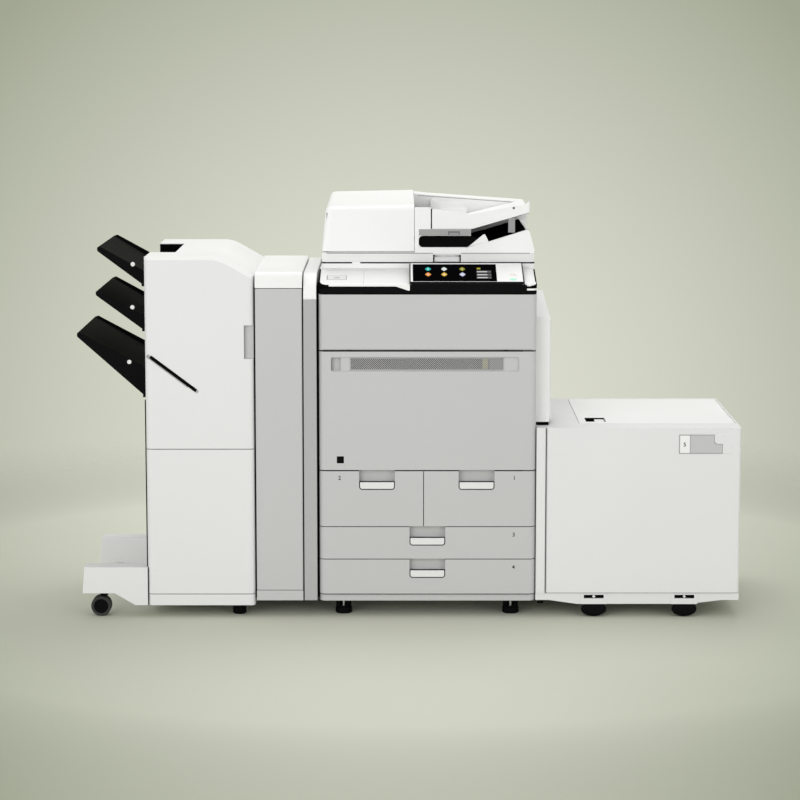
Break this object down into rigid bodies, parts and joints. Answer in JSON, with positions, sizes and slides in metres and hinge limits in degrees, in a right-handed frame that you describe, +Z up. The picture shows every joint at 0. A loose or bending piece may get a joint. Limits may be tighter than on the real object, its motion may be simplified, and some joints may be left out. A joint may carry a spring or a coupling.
{
  "type": "digital production printer",
  "caption": "Cut-sheet colour production printer with scanner and document feeder, relay unit, finisher with output trays and a side paper deck.",
  "frame": {"origin": "on the floor, under the middle of the whole line's bounding box", "axes": "+X along the line from finisher to paper deck, +Y to the back, +Z up"},
  "size_m": [1.967, 0.9016, 1.2305],
  "materials": {
    "white_cover": "satin",
    "light_cover": "satin",
    "grey_cover": "satin",
    "black_plastic": "matt",
    "painted_steel": "satin",
    "bright_steel": "brushed",
    "display": "gloss",
    "scanner_glass": "polished",
    "rubber": "matt",
    "start_green": "gloss",
    "stop_amber": "gloss",
    "belt": "gloss",
    "toner": "gloss"
  },
  "bodies": {
    "line": {"engine_frame": "painted_steel", "base_skirt": "grey_cover", "side_covers": "grey_cover", "rear_cover": "grey_cover", "console": "white_cover", "console_band": "black_plastic", "inner_cover": "light_cover", "toner_bottles": "toner", "drum_units": "black_plastic", "transfer_belt": "belt", "fixing_unit": "bright_steel", "engine_feet": "black_plastic", "reader_body": "white_cover", "platen_glass": "scanner_glass", "bypass_housing": "light_cover", "relay_housing": "white_cover", "adapter_duct": "grey_cover", "finisher_housing": "light_cover", "finisher_top_cover": "white_cover", "finisher_lower_cover": "light_cover", "finisher_outriggers": "light_cover"},
    "upper_cover": {"upper_front_cover": "grey_cover"},
    "front_door": {"front_door": "grey_cover", "vent_grille": "grey_cover"},
    "drawer_1": {"drawer_1_front": "grey_cover", "drawer_1_tray": "painted_steel"},
    "drawer_2": {"drawer_2_front": "grey_cover", "drawer_2_tray": "painted_steel"},
    "drawer_3": {"drawer_3_front": "grey_cover", "drawer_3_tray": "painted_steel"},
    "drawer_4": {"drawer_4_front": "grey_cover", "drawer_4_tray": "painted_steel"},
    "bypass": {"bypass_tray": "light_cover"},
    "panel": {"control_panel": "black_plastic", "touch_screen": "display"},
    "start": {"start_key": "start_green"},
    "stop": {"stop_key": "stop_amber"},
    "carriage": {"scan_carriage": "black_plastic"},
    "feeder": {"adf_lid": "white_cover"},
    "feeder_top": {"feeder_cover": "white_cover"},
    "original_tray": {"document_tray": "white_cover"},
    "guide_front": {"document_guide_front": "white_cover"},
    "guide_rear": {"document_guide_rear": "white_cover"},
    "rollers": {"feed_rollers": "rubber"},
    "relay_door": {"relay_door": "grey_cover"},
    "finisher_door": {"finisher_door": "light_cover"},
    "tray_1": {"output_tray_1": "black_plastic"},
    "tray_2": {"output_tray_2": "black_plastic"},
    "tray_3": {"output_tray_3": "black_plastic"},
    "fork_front": {"caster_fork_front": "black_plastic"},
    "fork_rear": {"caster_fork_rear": "black_plastic"},
    "casters_front": {"caster_wheels_front": "rubber"},
    "casters_rear": {"caster_wheels_rear": "rubber"},
    "deck": {"deck_case": "light_cover", "deck_front_cover": "light_cover"},
    "deck_lid": {"deck_lid": "white_cover"},
    "latch": {"lid_latch": "white_cover"},
    "lifter": {"deck_lifter": "bright_steel"},
    "deck_wheels_left": {"deck_wheels_left": "rubber"},
    "deck_wheels_right": {"deck_wheels_right": "rubber"}
  },
  "joints": [
    {"name": "upper_cover_hinge", "type": "hinge", "parent": "line", "child": "upper_cover", "pos_m": [0.055, -0.443, 0.808], "axis": [1, 0, 0], "range_deg": [0, 88]},
    {"name": "front_door_hinge", "type": "hinge", "parent": "line", "child": "front_door", "pos_m": [0.3675, -0.442, 0.62], "axis": [0, 0, 1], "range_deg": [0, 100]},
    {"name": "drawer_1_slide", "type": "slide", "parent": "line", "child": "drawer_1", "axis": [0, -1, 0], "range_m": [0, 0.5]},
    {"name": "drawer_2_slide", "type": "slide", "parent": "line", "child": "drawer_2", "axis": [0, -1, 0], "range_m": [0, 0.5]},
    {"name": "drawer_3_slide", "type": "slide", "parent": "line", "child": "drawer_3", "axis": [0, -1, 0], "range_m": [0, 0.5]},
    {"name": "drawer_4_slide", "type": "slide", "parent": "line", "child": "drawer_4", "axis": [0, -1, 0], "range_m": [0, 0.5]},
    {"name": "bypass_hinge", "type": "hinge", "parent": "line", "child": "bypass", "pos_m": [0.4228, -0.19, 0.589], "axis": [0, 1, 0], "range_deg": [0, 65]},
    {"name": "panel_tilt", "type": "hinge", "parent": "line", "child": "panel", "pos_m": [0.17, -0.44908, 0.9945], "axis": [1, 0, 0], "range_deg": [0, 20]},
    {"name": "start_press", "type": "slide", "parent": "panel", "child": "start", "axis": [0, 0.2752, -0.9614], "range_m": [0, 0.002], "stiffness_N_per_m": 120},
    {"name": "stop_press", "type": "slide", "parent": "panel", "child": "stop", "axis": [0, 0.2752, -0.9614], "range_m": [0, 0.002], "stiffness_N_per_m": 120},
    {"name": "scan_travel", "type": "slide", "parent": "line", "child": "carriage", "axis": [1, 0, 0], "range_m": [0, 0.43]},
    {"name": "feeder_hinge", "type": "hinge", "parent": "line", "child": "feeder", "pos_m": [0.058, 0.315, 1.0475], "axis": [-1, 0, 0], "range_deg": [0, 70]},
    {"name": "feeder_cover_hinge", "type": "hinge", "parent": "feeder", "child": "feeder_top", "pos_m": [-0.2535, 0.015, 1.0855], "axis": [0, -1, 0], "range_deg": [0, 60]},
    {"name": "original_tray_hinge", "type": "hinge", "parent": "feeder", "child": "original_tray", "pos_m": [0.0755, 0, 1.2005], "axis": [0, -1, 0], "range_deg": [0, 22]},
    {"name": "guide_front_slide", "type": "slide", "parent": "original_tray", "child": "guide_front", "axis": [0, 1, 0], "range_m": [0, 0.11]},
    {"name": "guide_rear_slide", "type": "slide", "parent": "original_tray", "child": "guide_rear", "axis": [0, 1, 0], "range_m": [-0.11, 0]},
    {"name": "feed_roller_spin", "type": "hinge", "parent": "feeder", "child": "rollers", "pos_m": [-0.0525, 0, 1.1215], "axis": [0, 1, 0], "continuous": true},
    {"name": "relay_door_hinge", "type": "hinge", "parent": "line", "child": "relay_door", "pos_m": [-0.4445, -0.442, 0.53], "axis": [0, 0, -1], "range_deg": [0, 100]},
    {"name": "finisher_door_hinge", "type": "hinge", "parent": "line", "child": "finisher_door", "pos_m": [-0.7695, -0.442, 0.76], "axis": [0, 0, -1], "range_deg": [0, 100]},
    {"name": "tray_1_lift", "type": "slide", "parent": "line", "child": "tray_1", "axis": [0, 0, 1], "range_m": [-0.04, 0]},
    {"name": "tray_2_lift", "type": "slide", "parent": "line", "child": "tray_2", "axis": [0, 0, 1], "range_m": [-0.06, 0]},
    {"name": "tray_3_lift", "type": "slide", "parent": "line", "child": "tray_3", "axis": [0, 0, 1], "range_m": [-0.26, 0]},
    {"name": "fork_front_swivel", "type": "hinge", "parent": "line", "child": "fork_front", "pos_m": [-0.9115, -0.416, 0.072], "axis": [0, 0, 1], "continuous": true},
    {"name": "fork_rear_swivel", "type": "hinge", "parent": "line", "child": "fork_rear", "pos_m": [-0.9115, 0.043, 0.072], "axis": [0, 0, 1], "continuous": true},
    {"name": "caster_front_spin", "type": "hinge", "parent": "fork_front", "child": "casters_front", "pos_m": [-0.9195, -0.416, 0.03], "axis": [0, 1, 0], "continuous": true},
    {"name": "caster_rear_spin", "type": "hinge", "parent": "fork_rear", "child": "casters_rear", "pos_m": [-0.9195, 0.043, 0.03], "axis": [0, 1, 0], "continuous": true},
    {"name": "deck_undock", "type": "slide", "parent": "line", "child": "deck", "axis": [1, 0, 0], "range_m": [0, 0.2]},
    {"name": "deck_lid_hinge", "type": "hinge", "parent": "deck", "child": "deck_lid", "pos_m": [0.7435, 0.168, 0.57], "axis": [-1, 0, 0], "range_deg": [0, 70]},
    {"name": "latch_lift", "type": "hinge", "parent": "deck_lid", "child": "latch", "pos_m": [0.5895, -0.278, 0.5633], "axis": [0, 1, 0], "range_deg": [0, 20]},
    {"name": "lifter_travel", "type": "slide", "parent": "deck", "child": "lifter", "axis": [0, 0, 1], "range_m": [0, 0.38]},
    {"name": "deck_wheels_left_spin", "type": "hinge", "parent": "deck", "child": "deck_wheels_left", "pos_m": [0.5515, -0.1, 0.038], "axis": [0, 1, 0], "continuous": true},
    {"name": "deck_wheels_right_spin", "type": "hinge", "parent": "deck", "child": "deck_wheels_right", "pos_m": [0.8215, -0.1, 0.038], "axis": [0, 1, 0], "continuous": true}
  ],
  "couplings": [
    {"joint": "guide_rear_slide", "follows": "guide_front_slide", "ratio": -1},
    {"joint": "deck_wheels_left_spin", "follows": "deck_undock", "rad_per_m": 26.316},
    {"joint": "deck_wheels_right_spin", "follows": "deck_undock", "rad_per_m": 26.316}
  ]
}
